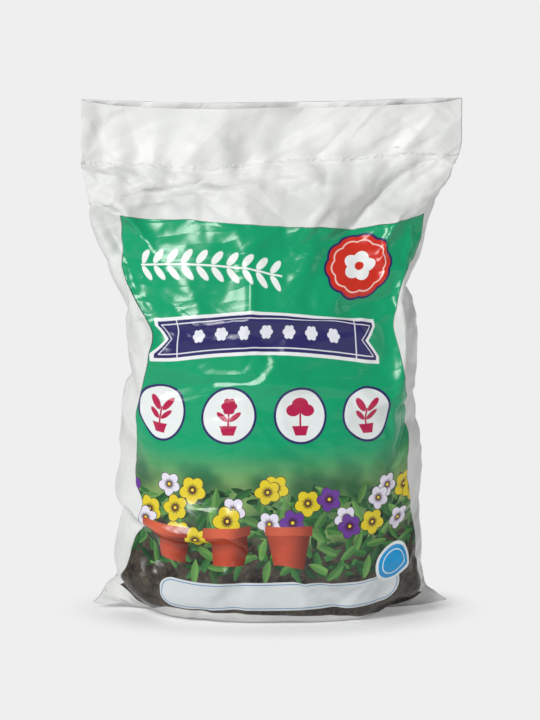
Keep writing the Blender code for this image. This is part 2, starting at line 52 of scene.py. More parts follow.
# A place on the film has two distances: around, from the middle of the front to the right, and
# run, up the film from the bottom weld.
low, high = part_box("bag")
FLAT_WIDTH = float(high[0] - low[0])  # the empty tube, lying flat
TOP_HEIGHT = float(high[2] - low[2])
LIP_HEIGHT = 0.056  # from the heat seal to the mouth
SLANT_RISE = 0.001  # the slant of the seal lifts the mouth about this much
SEAL_HEIGHT = TOP_HEIGHT - LIP_HEIGHT - SLANT_RISE
BODY_DEPTH = 0.164  # the full bag, front to back
LIP_DROP = 0.0055  # the front lip is cut this much lower than the rear one
MOUTH_GAP = 0.007  # between the lips at the middle of the mouth
FILM = 0.0004  # one wall of film
SEAL_BAND = 0.005  # how far the films are fused above the seal line
CRINKLE_HEIGHT = 0.0018  # the small gathers along the heat seal
CRINKLE_LENGTH = 0.033
LIP_WAVE_HEIGHT = 0.003  # the slow bends of the lips
LIP_WAVE_LENGTH = 0.132
CORNER_START = 0.145  # right of this the lips bend back
CORNER_SLOPE = 0.28
CREST = 0.002  # how round the crest of a fold is
FOLD_CLEAR_OF_FLOOR = 0.014  # folds die out over this height above the floor
FOLD_CLEAR_OF_SEAL = 0.045  # and over this run under the heat seal
COLUMNS = 72  # facets across the front, and as many across the back
ROWS = 104  # facets from the bottom weld to the heat seal
LIP_ROWS = 10  # facets from the fused band to the mouth
CURVE_STEPS = 400  # points along the middle line of the front or the back
SECTION_STEPS = 200  # points round a quarter of a section
GIRTH = 2 * FLAT_WIDTH
HALF_WIDTH = FLAT_WIDTH / 2
HALF_DEPTH = BODY_DEPTH / 2

# The middle line of the front and of the back, from the bottom weld to the heat seal: how far
# out it is, as a share of HALF_DEPTH, and how high, as a share of SEAL_HEIGHT.
FRONT_LINE = [
    (0.00, 0.000), (0.34, 0.000), (0.66, 0.000), (0.82, 0.009), (0.92, 0.028), (0.97, 0.062),
    (1.00, 0.130), (1.00, 0.240), (0.98, 0.370), (0.93, 0.510), (0.84, 0.640), (0.71, 0.740),
    (0.52, 0.835), (0.30, 0.915), (0.11, 0.972), (0.00, 1.000),
]
BACK_LINE = [
    (0.00, 0.000), (0.34, 0.000), (0.60, 0.000), (0.77, 0.009), (0.88, 0.029), (0.95, 0.070),
    (1.00, 0.150), (1.00, 0.260), (0.96, 0.390), (0.91, 0.525), (0.83, 0.643), (0.73, 0.740),
    (0.56, 0.835), (0.34, 0.915), (0.12, 0.972), (0.00, 1.000),
]

# The outline seen from the front, from the ear up to the mouth: how far out, as a share of
# HALF_WIDTH, and how high, as a share of SEAL_HEIGHT. An ear is a corner of the bottom weld.
LEFT_OUTLINE = [
    (0.961, 0.011), (0.918, 0.027), (0.896, 0.048), (0.862, 0.074), (0.836, 0.092),
    (0.830, 0.109), (0.820, 0.147), (0.795, 0.198), (0.779, 0.239), (0.756, 0.274),
    (0.787, 0.293), (0.774, 0.320), (0.774, 0.437), (0.769, 0.516), (0.733, 0.565),
    (0.728, 0.662), (0.734, 0.688), (0.795, 0.729), (0.836, 0.761), (0.882, 0.802),
    (0.934, 0.855), (0.968, 0.918), (0.980, 0.966), (1.000, 0.992),
]
RIGHT_OUTLINE = [
    (0.941, 0.019), (0.839, 0.046), (0.812, 0.060), (0.803, 0.086), (0.789, 0.125),
    (0.785, 0.208), (0.775, 0.268), (0.764, 0.386), (0.745, 0.461), (0.718, 0.514),
    (0.724, 0.531), (0.730, 0.560), (0.722, 0.650), (0.703, 0.696), (0.695, 0.729),
    (0.731, 0.766), (0.767, 0.804), (0.801, 0.860), (0.840, 0.893), (0.888, 0.930),
    (0.947, 0.976), (0.988, 1.007), (1.000, 1.090),
]

# What changes up the film: its run, as a share of SEAL_RUN, how much higher its sides are than
# its middle, as a share of SEAL_HEIGHT, the share of its width that stays level, and the shape
# of its section, whose depth at a share out of the half width is
# (1 - share ** fullness) ** roundness.
SECTIONS = [
    (0.00, 0.000, 0.62, 2.0, 2.00), (0.08, 0.053, 0.58, 2.0, 1.20),
    (0.15, 0.087, 0.35, 2.3, 0.60), (0.22, 0.097, 0.32, 2.4, 0.50),
    (0.40, 0.082, 0.50, 2.4, 0.50), (0.66, 0.053, 0.45, 2.3, 0.52),
    (0.80, 0.034, 0.25, 2.1, 0.66), (0.90, 0.019, 0.10, 2.0, 0.90),
    (1.00, 0.000, 0.00, 2.0, 0.80),
]

# Where the seal lies above or below SEAL_HEIGHT, as a share of it, at shares of HALF_WIDTH.
SEAL_LINE = [
    (-1.00, -0.007), (-0.69, -0.012), (-0.34, -0.019), (0.06, -0.002), (0.46, 0.002),
    (0.69, 0.014), (1.00, 0.010),
]

# Folds in the film: a path of (around, run) in shares of HALF_WIDTH and SEAL_RUN, and in
# metres how far the crest stands out of the film, or sinks in, and how far the fold reaches to
# the left and to the right of its path. A fold that reaches much further on one side hangs
# over the film on the other. The middle of the front is at 0 and the middle of the back at 2.
FOLDS = [
    # right shoulder: film drawn from the seal's end down to the full front
    ([(0.91, 0.996), (0.64, 0.928), (0.45, 0.843)], -0.014, 0.014, 0.009),
    ([(0.98, 0.968), (0.77, 0.876), (0.67, 0.787)], 0.011, 0.012, 0.012),
    ([(0.33, 0.980), (0.34, 0.914), (0.23, 0.853)], 0.006, 0.012, 0.016),
    # left shoulder: a long fold under the seal, and the facets at the seal's end
    ([(-0.69, 0.928), (-0.38, 0.968), (0.00, 0.984)], -0.010, 0.009, 0.009),
    ([(-0.73, 0.896), (-0.35, 0.934), (0.07, 0.952)], 0.009, 0.010, 0.022),
    ([(-0.90, 0.994), (-0.83, 0.904), (-0.69, 0.833)], 0.008, 0.014, 0.010),
    ([(-0.96, 0.904), (-0.87, 0.803), (-0.86, 0.693)], -0.007, 0.010, 0.010),
    # left side: the full front hangs over the film that is drawn in beside it
    ([(-0.85, 0.773), (-0.77, 0.693), (-0.67, 0.614), (-0.72, 0.526)], 0.014, 0.007, 0.030),
    ([(-0.86, 0.538), (-1.00, 0.522), (-1.17, 0.538)], -0.007, 0.009, 0.009),
    # low on the left: the longest fold, where the contents have settled
    ([(-1.02, 0.297), (-0.75, 0.313), (-0.50, 0.301), (-0.21, 0.301), (0.00, 0.249)],
     0.015, 0.032, 0.006),
    ([(-1.04, 0.257), (-0.86, 0.269), (-0.63, 0.253)], -0.009, 0.009, 0.016),
    # right side: a ridge down the edge of the front, and short folds below it
    ([(0.81, 0.747), (0.77, 0.663), (0.71, 0.542)], 0.013, 0.028, 0.008),
    ([(1.01, 0.430), (0.83, 0.466), (0.67, 0.414)], -0.007, 0.009, 0.012),
    ([(1.03, 0.482), (0.86, 0.526), (0.69, 0.526)], 0.006, 0.009, 0.012),
    # bottom corners: film drawn in above the ears
    ([(-1.01, 0.124), (-0.90, 0.112), (-0.73, 0.116)], -0.007, 0.009, 0.009),
    ([(-0.96, 0.181), (-0.79, 0.173), (-0.64, 0.193)], 0.006, 0.010, 0.012),
    ([(0.67, 0.237), (0.80, 0.165), (0.91, 0.092)], 0.011, 0.010, 0.010),
    ([(0.98, 0.169), (0.88, 0.124), (0.75, 0.104)], -0.010, 0.009, 0.009),
    # shallow swells of the front
    ([(-0.40, 0.671), (0.00, 0.687), (0.46, 0.679)], 0.004, 0.018, 0.018),
    ([(-0.29, 0.562), (0.06, 0.574), (0.46, 0.558)], 0.004, 0.014, 0.014),
    ([(-0.13, 0.787), (-0.10, 0.727), (-0.14, 0.663)], 0.003, 0.010, 0.010),
    # the back: its shoulders, its sides and the settled contents
    ([(1.14, 0.988), (1.39, 0.928), (1.62, 0.839)], -0.011, 0.014, 0.012),
    ([(1.09, 0.940), (1.29, 0.859), (1.36, 0.763)], 0.008, 0.014, 0.014),
    ([(2.83, 0.984), (2.58, 0.920), (2.42, 0.823)], -0.010, 0.012, 0.014),
    ([(1.86, 0.968), (1.98, 0.884), (1.94, 0.803)], 0.007, 0.016, 0.014),
    ([(1.19, 0.703), (1.23, 0.602), (1.20, 0.502)], 0.009, 0.010, 0.030),
    ([(2.78, 0.683), (2.81, 0.582), (2.75, 0.462)], 0.009, 0.030, 0.010),
    ([(1.12, 0.301), (1.43, 0.325), (1.83, 0.305), (2.11, 0.333)], 0.010, 0.030, 0.009),
    ([(2.34, 0.241), (2.69, 0.257), (2.93, 0.237)], 0.008, 0.026, 0.009),
    ([(1.89, 0.602), (2.23, 0.582), (2.51, 0.610)], 0.004, 0.016, 0.016),
    ([(1.20, 0.141), (1.39, 0.116), (1.58, 0.145)], -0.007, 0.010, 0.010),
    ([(2.51, 0.141), (2.67, 0.120), (2.86, 0.145)], -0.007, 0.010, 0.010),
]


def through(x, y, at):
    """The smooth curve through the points (x, y), read at the values in at."""
    x, y = np.asarray(x, float), np.asarray(y, float)
    step = np.diff(x)
    rise = np.diff(y) / step
    slope = np.concatenate([rise[:1], (rise[:-1] + rise[1:]) / 2, rise[-1:]])
    slope[1:-1][rise[:-1] * rise[1:] <= 0] = 0
    at = np.clip(at, x[0], x[-1])
    i = np.clip(np.searchsorted(x, at) - 1, 0, len(x) - 2)
    t = (at - x[i]) / step[i]
    start = (1 + 2 * t) * (1 - t) ** 2 * y[i] + t * (1 - t) ** 2 * step[i] * slope[i]
    end = t * t * (3 - 2 * t) * y[i + 1] + t * t * (t - 1) * step[i] * slope[i + 1]
    return start + end


def lengths(x, y):
    """How far each point of a line is from its start, along the line."""
    return np.concatenate([[0], np.cumsum(np.hypot(np.diff(x), np.diff(y)))])


def middle_line(points):
    """A smooth line through the points: how far along, how far out and how high."""
    out = np.array([point[0] for point in points]) * HALF_DEPTH
    height = np.array([point[1] for point in points]) * SEAL_HEIGHT
    chord = lengths(out, height)
    fine = np.linspace(0, chord[-1], CURVE_STEPS)
    out, height = through(chord, out, fine), through(chord, height, fine)
    return lengths(out, height), out, height


FRONT_MIDDLE = middle_line(FRONT_LINE)
BACK_MIDDLE = middle_line(BACK_LINE)
SEAL_RUN = FRONT_MIDDLE[0][-1]
MOUTH_RUN = SEAL_RUN + LIP_HEIGHT


def bend(x, height):
    """How far back the sealed films lie: crinkled at the seal, and bent back at the right."""
    up = (height - SEAL_HEIGHT) / LIP_HEIGHT
    crinkle = CRINKLE_HEIGHT * np.sin(2 * np.pi * x / CRINKLE_LENGTH)
    crinkle = crinkle * np.exp(-((up / 0.4) ** 2))
    wave = LIP_WAVE_HEIGHT * np.sin(2 * np.pi * x / LIP_WAVE_LENGTH + 0.8)
    wave = wave * np.exp(-((up - 0.4) ** 2))
    corner = CORNER_SLOPE * np.maximum(0, x - CORNER_START) * np.clip(up + 0.4, 0, 1.2)
    return (crinkle + wave + corner) * np.clip(up + 1, 0, 1)


def quarter_row(run, side, direction):
    """A row from the middle of one side (-1 front, 1 back) to one crease (-1 left, 1 right)."""
    share = np.linspace(0, 1, COLUMNS // 2 + 1)
    up, lip = min(1, run / SEAL_RUN), max(0, run - SEAL_RUN) / LIP_HEIGHT
    line = FRONT_MIDDLE if side < 0 else BACK_MIDDLE
    out = np.interp(up, line[0] / line[0][-1], line[1])
    middle = np.interp(up, line[0] / line[0][-1], line[2])
    rows = np.array(SECTIONS)
    lift, level, fullness, roundness = (through(rows[:, 0], rows[:, k], up) for k in range(1, 5))
    outline = np.array(LEFT_OUTLINE if direction < 0 else RIGHT_OUTLINE)
    # how high the row is: its sides stand above its middle, and the lowest ends at the ears
    lift = SEAL_HEIGHT * (lift + outline[0][1] * (1 - up) ** 8)
    height = middle + lift * np.maximum(0, (share - level) / (1 - level)) ** 2
    drop = LIP_DROP * ((side < 0) * (1 - share**8) + 0.5 * (1 - share**2))
    height += lip * (LIP_HEIGHT - drop)
    outline_at = (middle + lift + lip * LIP_HEIGHT) / SEAL_HEIGHT
    half = through(outline[:, 1], outline[:, 0], outline_at) * HALF_WIDTH
    # even steps of film round the section
    angle = np.linspace(0, np.pi / 2, SECTION_STEPS)
    depth = np.clip(1 - np.sin(angle) ** fullness, 0, 1) ** roundness
    measure = lengths(half * np.sin(angle), out * depth)
    at = np.interp(share * measure[-1], measure, angle)
    x = half * np.sin(at) * direction
    thin = FILM + lip * MOUTH_GAP / 2 * (1 - share**2)
    depth = out * np.clip(1 - np.sin(at) ** fullness, 0, 1) ** roundness
    y = side * np.maximum(depth, thin * (share < 1))
    # the seal isn't level
    line = np.array(SEAL_LINE)
    near_seal = np.exp(-(((run - SEAL_RUN) / FOLD_CLEAR_OF_SEAL) ** 2))
    height = height + SEAL_HEIGHT * through(line[:, 0], line[:, 1], x / HALF_WIDTH) * near_seal
    return np.stack([x, y + bend(x, height), height], axis=1)


def film_row(run):
    """A row right round the film: from the left crease over the front, and back behind."""
    front_left, front_right = quarter_row(run, -1, -1), quarter_row(run, -1, 1)
    back_right, back_left = quarter_row(run, 1, 1), quarter_row(run, 1, -1)
    return np.concatenate([front_left[::-1], front_right[1:], back_right[-2::-1], back_left[1:]])


def fold_height(around, run, path, height, reach_left, reach_right):
    """How far one fold lifts the film, at arrays of places on it."""
    path = np.array(path) * (HALF_WIDTH, SEAL_RUN)
    steps = np.diff(path, axis=0)
    step_lengths = np.hypot(steps[:, 0], steps[:, 1])
    nearest = np.full(np.shape(around), np.inf)
    lifted = np.zeros(np.shape(around))
    middle = path[:, 0].mean()
    around = (around - middle + GIRTH / 2) % GIRTH - GIRTH / 2 + middle
    before = 0
    for start, step, length in zip(path, steps, step_lengths):
        east, north = around - start[0], run - start[1]
        t = np.clip((east * step[0] + north * step[1]) / length**2, 0, 1)
        distance = np.hypot(east - t * step[0], north - t * step[1])
        reach = np.where(step[0] * north - step[1] * east > 0, reach_left, reach_right)
        # strongest in the middle of its path, and falling away beside it
        along = (before + t * length) / step_lengths.sum()
        crest_height = height * np.sin(np.pi * (0.08 + 0.84 * along)) ** 0.7
        value = crest_height * np.exp((CREST - np.hypot(distance, CREST)) / reach)
        lifted = np.where(distance < nearest, value, lifted)
        nearest = np.minimum(nearest, distance)
        before += length
    return lifted


def outward_of(points):
    """The film's outward direction at each point of its rows."""
    around_step = np.roll(points, -1, axis=1) - np.roll(points, 1, axis=1)
    outward = np.cross(around_step, np.gradient(points, axis=0))
    return outward / np.maximum(np.linalg.norm(outward, axis=2, keepdims=True), 1e-12)


body_runs = np.linspace(0, SEAL_RUN, ROWS + 1)
lip_runs = np.linspace(SEAL_RUN + SEAL_BAND, MOUTH_RUN, LIP_ROWS + 1)
runs = np.concatenate([body_runs, lip_runs])
arounds = np.arange(2 * COLUMNS + 1) * FLAT_WIDTH / COLUMNS - HALF_WIDTH
filled = np.array([film_row(run)[:-1] for run in runs])
around_grid, run_grid = np.meshgrid(arounds[:-1], runs)
lifted = sum(fold_height(around_grid, run_grid, *fold) for fold in FOLDS)
above_floor = np.clip(filled[:, :, 2] / FOLD_CLEAR_OF_FLOOR, 0, 1)
under_seal = np.clip((SEAL_RUN - run_grid) / FOLD_CLEAR_OF_SEAL, 0, 1)
filled = filled + outward_of(filled) * (lifted * above_floor * under_seal)[:, :, None]
filled[:, :, 2] = np.maximum(filled[:, :, 2], 0)

# the lips' inner faces: each row of the lips again, one film further in
inner = filled[: -LIP_ROWS - 2 : -1].copy()
inner[:, 1:COLUMNS, 1] += FILM
inner[:, COLUMNS + 1 :, 1] -= FILM
for crease in (0, COLUMNS):
    outside = filled[: -LIP_ROWS - 2 : -1]
    inner[:, crease] = (outside[:, crease - 1] + outside[:, crease + 1]) / 2
    inner[:, crease] = 0.7 * outside[:, crease] + 0.3 * inner[:, crease]
rows = np.concatenate([filled, inner])
behind = -np.arange(2 * COLUMNS) % (2 * COLUMNS)
for line in (0, -1):
    rows[line] = (rows[line] + rows[line][behind]) / 2

# A flat sheet of facets takes that shape, and its meeting edges are joined into a tube.
bpy.ops.object.select_all(action="DESELECT")
bpy.ops.mesh.primitive_grid_add(x_subdivisions=2 * COLUMNS, y_subdivisions=len(rows) - 1, size=1)
bag = bpy.context.object
bag.name = bag.data.name = "bag_film"
film_runs = np.concatenate([runs, 2 * MOUTH_RUN - lip_runs[::-1]])
film_places = np.stack(np.meshgrid(arounds, film_runs), axis=2).reshape(-1, 2)
rolled = np.concatenate([rows, rows[:, :1]], axis=1)
bag.data.vertices.foreach_set("co", rolled.reshape(-1))

# The print's own map, in metres from its lower left corner, and the shares of its width and
# height. Folds hide some of the print at its sides, which carries its edges in and out: its
# sides are given as (run, around), and its foot and top as (around, run).
PRINT_WIDTH = 0.296
PRINT_HEIGHT = 0.359
PRINT_BOTTOM = 0.073
PRINT_LEFT = [
    (0.049, -0.164), (0.060, -0.159), (0.080, -0.146), (0.098, -0.138), (0.127, -0.141),
    (0.145, -0.124), (0.155, -0.117), (0.172, -0.117), (0.184, -0.129), (0.213, -0.134),
    (0.262, -0.128), (0.292, -0.119), (0.315, -0.115), (0.355, -0.132), (0.383, -0.146),
    (0.432, -0.142),
]
PRINT_RIGHT = [
    (0.030, 0.166), (0.060, 0.150), (0.089, 0.141), (0.134, 0.145), (0.162, 0.136),
    (0.202, 0.136), (0.223, 0.147), (0.242, 0.148), (0.271, 0.132), (0.325, 0.124),
    (0.350, 0.134), (0.373, 0.142), (0.386, 0.156), (0.414, 0.168), (0.430, 0.165),
]
PRINT_FOOT = [
    (-0.164, 0.050), (-0.135, 0.048), (-0.110, 0.070), (-0.083, 0.079), (-0.046, 0.077),
    (0.025, 0.073), (0.065, 0.070), (0.113, 0.059), (0.136, 0.026), (0.166, 0.028),
]
PRINT_TOP = [
    (-0.143, 0.431), (-0.103, 0.434), (-0.034, 0.431), (0.065, 0.428), (0.136, 0.426),
    (0.165, 0.430),
]
left_edge = through(*np.transpose(PRINT_LEFT), film_places[:, 1])
right_edge = through(*np.transpose(PRINT_RIGHT), film_places[:, 1])
foot_edge = through(*np.transpose(PRINT_FOOT), film_places[:, 0])
top_edge = through(*np.transpose(PRINT_TOP), film_places[:, 0])
print_places = film_places + (PRINT_WIDTH / 2, -PRINT_BOTTOM)
share_across = (film_places[:, 0] - left_edge) / (right_edge - left_edge)
share_up = (film_places[:, 1] - foot_edge) / (top_edge - foot_edge)
share_places = np.stack([share_across, share_up], axis=1)
loop_vertices = np.zeros(len(bag.data.loops), int)
bag.data.loops.foreach_get("vertex_index", loop_vertices)
bag.data.uv_layers.active.name = "film"
bag.data.uv_layers["film"].data.foreach_set("uv", film_places[loop_vertices].reshape(-1))
bag.data.uv_layers.new(name="print")
bag.data.uv_layers["print"].data.foreach_set("uv", print_places[loop_vertices].reshape(-1))
bag.data.uv_layers.new(name="print_share")
bag.data.uv_layers["print_share"].data.foreach_set("uv", share_places[loop_vertices].reshape(-1))

# where each point is while the tube lies flat, which the film remembers
across = np.minimum(film_places[:, 0], FLAT_WIDTH - film_places[:, 0])
is_back = film_places[:, 0] > HALF_WIDTH
flat_place = bag.data.attributes.new("flat_place", "FLOAT_VECTOR", "POINT")
lying = np.stack([across, np.where(is_back, FILM, -FILM) / 2, film_places[:, 1]], axis=1)
flat_place.data.foreach_set("vector", lying.reshape(-1))
bpy.ops.object.mode_set(mode="EDIT")
bpy.ops.mesh.select_all(action="SELECT")
bpy.ops.mesh.remove_doubles(threshold=0.00001)
bpy.ops.mesh.normals_make_consistent(inside=False)
bpy.ops.object.mode_set(mode="OBJECT")

# The filled film settles as cloth. Its flat size is a little more than the shape takes up, so
# it buckles where the filling gathers it. Above the seal it is held.
SETTLE_FRAMES = 24
SPARE_FILM = 0.045  # how much more film there is than the shape takes up, as a share
HELD = 0.02  # how firmly the filling holds the film where it is
HELD_FAST = 0.003  # below the seal the film is held fast over this run
FARTHEST_MOVE = 0.010  # how far a point may settle
FORM_STEPS = 50  # how widely the general form is averaged
FORM_LEFT = 0.15  # how much of the cloth's change to that form is kept
WIDER = 0.001  # how far the buckles may widen the bag
count = len(bag.data.vertices)
filled_places = np.zeros(count * 3)
bag.data.vertices.foreach_get("co", filled_places)
filled_places = filled_places.reshape(-1, 3)
lying = np.zeros(count * 3)
bag.data.attributes["flat_place"].data.foreach_get("vector", lying)
bag.shape_key_add(name="filled")
flat_key = bag.shape_key_add(name="flat")
flat_key.data.foreach_set("co", lying)
held = bag.vertex_groups.new(name="held")
for index, run in enumerate(lying.reshape(-1, 3)[:, 2]):
    held.add([index], 1.0 if run > SEAL_RUN - HELD_FAST else HELD, "REPLACE")
cloth = bag.modifiers.new("settling", "CLOTH")
sheet = cloth.settings
sheet.quality = 5
sheet.mass = 0.05
sheet.tension_stiffness = sheet.compression_stiffness = 15
sheet.shear_stiffness = 5
sheet.bending_stiffness = 0.02
sheet.tension_damping = sheet.compression_damping = sheet.shear_damping = 1
sheet.bending_damping = 0.5
sheet.air_damping = 1
sheet.vertex_group_mass = "held"
sheet.pin_stiffness = 1
sheet.shrink_min = -SPARE_FILM
sheet.rest_shape_key = flat_key
sheet.use_pressure = True
sheet.uniform_pressure_force = 0.3
sheet.effector_weights.gravity = 0
cloth.point_cache.frame_start = 1
cloth.point_cache.frame_end = SETTLE_FRAMES
for frame_number in range(1, SETTLE_FRAMES + 1):
    bpy.context.scene.frame_set(frame_number)
settled = np.zeros(count * 3)
evaluated = bag.evaluated_get(bpy.context.evaluated_depsgraph_get())
evaluated.data.vertices.foreach_get("co", settled)
move = settled.reshape(-1, 3) - filled_places
# the filling keeps the general form, so only the film's own buckles are kept
ends = np.zeros(len(bag.data.edges) * 2, int)
bag.data.edges.foreach_get("vertices", ends)
one, other = ends.reshape(-1, 2).T
met = np.bincount(ends, minlength=count)[:, None]
general = move.copy()
for step in range(FORM_STEPS):
    total = [
        np.bincount(one, general[other, k], count) + np.bincount(other, general[one, k], count)
        for k in range(3)
    ]
    general = (general + np.stack(total, axis=1) / met) / 2
move -= (1 - FORM_LEFT) * general
side = np.sign(filled_places[:, 0])
move[:, 0] = side * np.minimum(side * move[:, 0], WIDER)
distance = np.linalg.norm(move, axis=1, keepdims=True)
filled_places += move * np.minimum(1, FARTHEST_MOVE / np.maximum(distance, 1e-9))
filled_places[:, 2] = np.maximum(filled_places[:, 2], 0)
bag.modifiers.remove(cloth)
bag.shape_key_clear()
bag.vertex_groups.clear()
bag.data.vertices.foreach_set("co", filled_places.reshape(-1))
bag.data.update()
bpy.context.scene.frame_set(1)
bag.data.attributes.remove(bag.data.attributes["flat_place"])
smoothing = bag.modifiers.new("smoothing", "SUBSURF")
smoothing.levels = smoothing.render_levels = 1
bpy.ops.object.modifier_apply(modifier=smoothing.name)

# The long sharp creases: a path of (around, run) in shares of HALF_WIDTH and SEAL_RUN, and in
# metres how far the crest stands out and how far it reaches to the left and right of its path.
LONG_CREASES = [
    # under the overhang low on the left
    ([(-0.72, 0.362), (-0.57, 0.345), (-0.40, 0.325), (-0.24, 0.300), (-0.09, 0.246)],
     -0.0035, 0.0015, 0.008),
    # the lips' left end
    ([(-0.93, 1.041), (-0.85, 1.086), (-0.70, 1.105)], 0.0020, 0.004, 0.010),
    ([(-0.92, 1.040), (-0.84, 1.024), (-0.74, 1.004)], -0.0020, 0.010, 0.002),
    ([(-0.70, 1.105), (-0.64, 1.076), (-0.59, 1.046)], 0.0015, 0.006, 0.003),
    ([(-0.97, 1.003), (-0.93, 1.044), (-0.89, 1.096)], 0.0015, 0.004, 0.006),
    # the lips' right half, where they run up and to the right
    ([(0.17, 1.006), (0.29, 1.021), (0.40, 1.041)], 0.0012, 0.0025, 0.0025),
    ([(0.26, 1.021), (0.38, 1.063), (0.53, 1.108)], 0.0010, 0.002, 0.004),
    ([(0.47, 1.005), (0.64, 1.035), (0.74, 1.075)], 0.0016, 0.003, 0.005),
    ([(0.65, 1.002), (0.74, 1.034), (0.84, 1.083)], -0.0020, 0.004, 0.002),
    ([(0.72, 1.002), (0.80, 1.024), (0.88, 1.051)], 0.0016, 0.003, 0.003),
    ([(0.52, 1.017), (0.59, 1.038), (0.61, 1.055)], 0.0010, 0.002, 0.003),
    # the left shoulder
    ([(-0.67, 0.940), (-0.46, 0.968), (-0.25, 0.978), (-0.05, 0.982)], 0.0026, 0.008, 0.002),
    ([(-0.97, 0.978), (-0.91, 0.932), (-0.83, 0.869)], 0.0020, 0.003, 0.008),
    ([(-0.83, 0.985), (-0.80, 0.931), (-0.77, 0.862)], 0.0020, 0.006, 0.003),
    ([(-0.69, 0.962), (-0.67, 0.922), (-0.70, 0.876)], 0.0015, 0.003, 0.006),
    ([(-0.99, 0.832), (-0.92, 0.797), (-0.86, 0.764)], 0.0020, 0.006, 0.003),
    # the right shoulder's valley, which runs on as a line across the print, and its ridge
    ([(0.92, 0.985), (0.77, 0.920), (0.62, 0.878), (0.50, 0.853)], -0.0045, 0.010, 0.009),
    ([(0.50, 0.853), (0.29, 0.828), (0.08, 0.817)], -0.0020, 0.002, 0.006),
    ([(0.69, 0.980), (0.59, 0.938), (0.42, 0.900), (0.16, 0.869)], 0.0026, 0.005, 0.012),
    # small ones under the middle of the seal
    ([(0.15, 0.957), (0.25, 0.978), (0.35, 0.985)], 0.0016, 0.004, 0.002),
    ([(-0.01, 0.947), (0.10, 0.928), (0.17, 0.927)], -0.0016, 0.002, 0.005),
    ([(0.07, 0.980), (0.29, 0.938), (0.44, 0.931)], 0.0018, 0.006, 0.002),
    # across the print
    ([(-0.83, 0.814), (-0.74, 0.733), (-0.68, 0.647)], 0.0022, 0.006, 0.002),
    ([(-0.17, 0.812), (-0.06, 0.832), (0.04, 0.857)], 0.0012, 0.002, 0.004),
    ([(-0.45, 0.627), (-0.17, 0.653), (0.16, 0.640), (0.51, 0.656)], 0.0010, 0.003, 0.002),
    ([(-0.47, 0.436), (-0.16, 0.434), (0.14, 0.435)], 0.0008, 0.003, 0.003),
    ([(0.81, 0.317), (0.67, 0.321), (0.56, 0.302)], 0.0018, 0.002, 0.006),
    ([(0.92, 0.212), (0.78, 0.205), (0.71, 0.175)], -0.0020, 0.003, 0.002),
]

# Short creases strewn between them. Each group lies in a patch of the film: from where to where
# around and up the run, which way its creases run, how far that varies, how long and how high
# they are, and how many there are.
CREASE_GROUPS = [
    ((0.000, 0.172), (0.430, 0.548), 42, 14, (0.030, 0.090), (0.0006, 0.0018), 20),
    ((-0.172, -0.060), (0.400, 0.500), 140, 30, (0.020, 0.060), (0.0006, 0.0018), 18),
    ((-0.172, -0.105), (0.495, 0.550), 60, 50, (0.020, 0.050), (0.0012, 0.0026), 6),
    ((-0.110, 0.170), (0.503, 0.550), 20, 60, (0.010, 0.045), (0.0006, 0.0018), 20),
    ((-0.172, 0.172), (0.468, 0.498), 90, 22, (0.010, 0.030), (0.0006, 0.0016), 34),
    ((-0.130, 0.135), (0.260, 0.440), 8, 26, (0.020, 0.060), (0.0005, 0.0013), 30),
    ((-0.130, 0.135), (0.090, 0.260), 165, 30, (0.020, 0.060), (0.0005, 0.0010), 18),
    ((0.110, 0.240), (0.100, 0.440), 170, 24, (0.015, 0.050), (0.0008, 0.0021), 46),
    ((-0.240, -0.110), (0.100, 0.440), 15, 24, (0.015, 0.050), (0.0008, 0.0021), 46),
    ((-0.180, -0.090), (0.020, 0.110), 30, 30, (0.015, 0.045), (0.0008, 0.0020), 16),
    ((0.090, 0.180), (0.020, 0.110), 150, 30, (0.015, 0.045), (0.0008, 0.0020), 16),
    ((0.200, 0.500), (0.060, 0.500), 20, 70, (0.020, 0.070), (0.0006, 0.0018), 66),
]
count = len(bag.data.vertices)
places = np.zeros(count * 3)
bag.data.vertices.foreach_get("co", places)
places = places.reshape(-1, 3)
outward = np.zeros(count * 3)
bag.data.vertices.foreach_get("normal", outward)
outward = outward.reshape(-1, 3)
loop_vertices = np.zeros(len(bag.data.loops), int)
bag.data.loops.foreach_get("vertex_index", loop_vertices)
film_uv = np.zeros(len(bag.data.loops) * 2)
bag.data.uv_layers["film"].data.foreach_get("uv", film_uv)
vertex_film = np.zeros((count, 2))
vertex_film[loop_vertices] = film_uv.reshape(-1, 2)
around_now = vertex_film[:, 0]
run_now = np.minimum(vertex_film[:, 1], 2 * MOUTH_RUN - vertex_film[:, 1])
across_now = np.where(around_now > HALF_WIDTH, FLAT_WIDTH - around_now, around_now)
chance = np.random.default_rng(12)
creases = [(np.array(path), *sizes) for path, *sizes in LONG_CREASES]
for arounds_from, runs_from, way, spread, long, tall, number in CREASE_GROUPS:
    for crease in range(number):
        middle = np.array([chance.uniform(*arounds_from), chance.uniform(*runs_from)])
        angle = math.radians(way + chance.uniform(-spread, spread))
        half = chance.uniform(*long) / 2 * np.array([math.cos(angle), math.sin(angle)])
        bow = chance.uniform(-0.12, 0.12) * np.array([-half[1], half[0]])
        path = np.array([middle - half, middle + bow, middle + half]) / (HALF_WIDTH, SEAL_RUN)
        rise = chance.uniform(*tall) * chance.choice([-1, 1])
        reach = 0.0022 + abs(rise) * chance.uniform(0.8, 2.0)
        creases.append((path, rise, reach, reach * chance.uniform(1.0, 4.0)))
on_body, on_lips = np.zeros(count), np.zeros(count)
for path, *sizes in creases:
    if path[:, 1].max() > 1:
        on_lips += fold_height(across_now, run_now, path, *sizes)
    else:
        on_body += fold_height(around_now, run_now, path, *sizes)
BODY_CREASES_END, BODY_FADE = 0.003, 0.006  # how far under the seal, and over what run
LIP_CREASES_START, LIP_FADE = 0.035, 0.03
body_share = np.clip((SEAL_RUN - BODY_CREASES_END - run_now) / BODY_FADE, 0, 1)
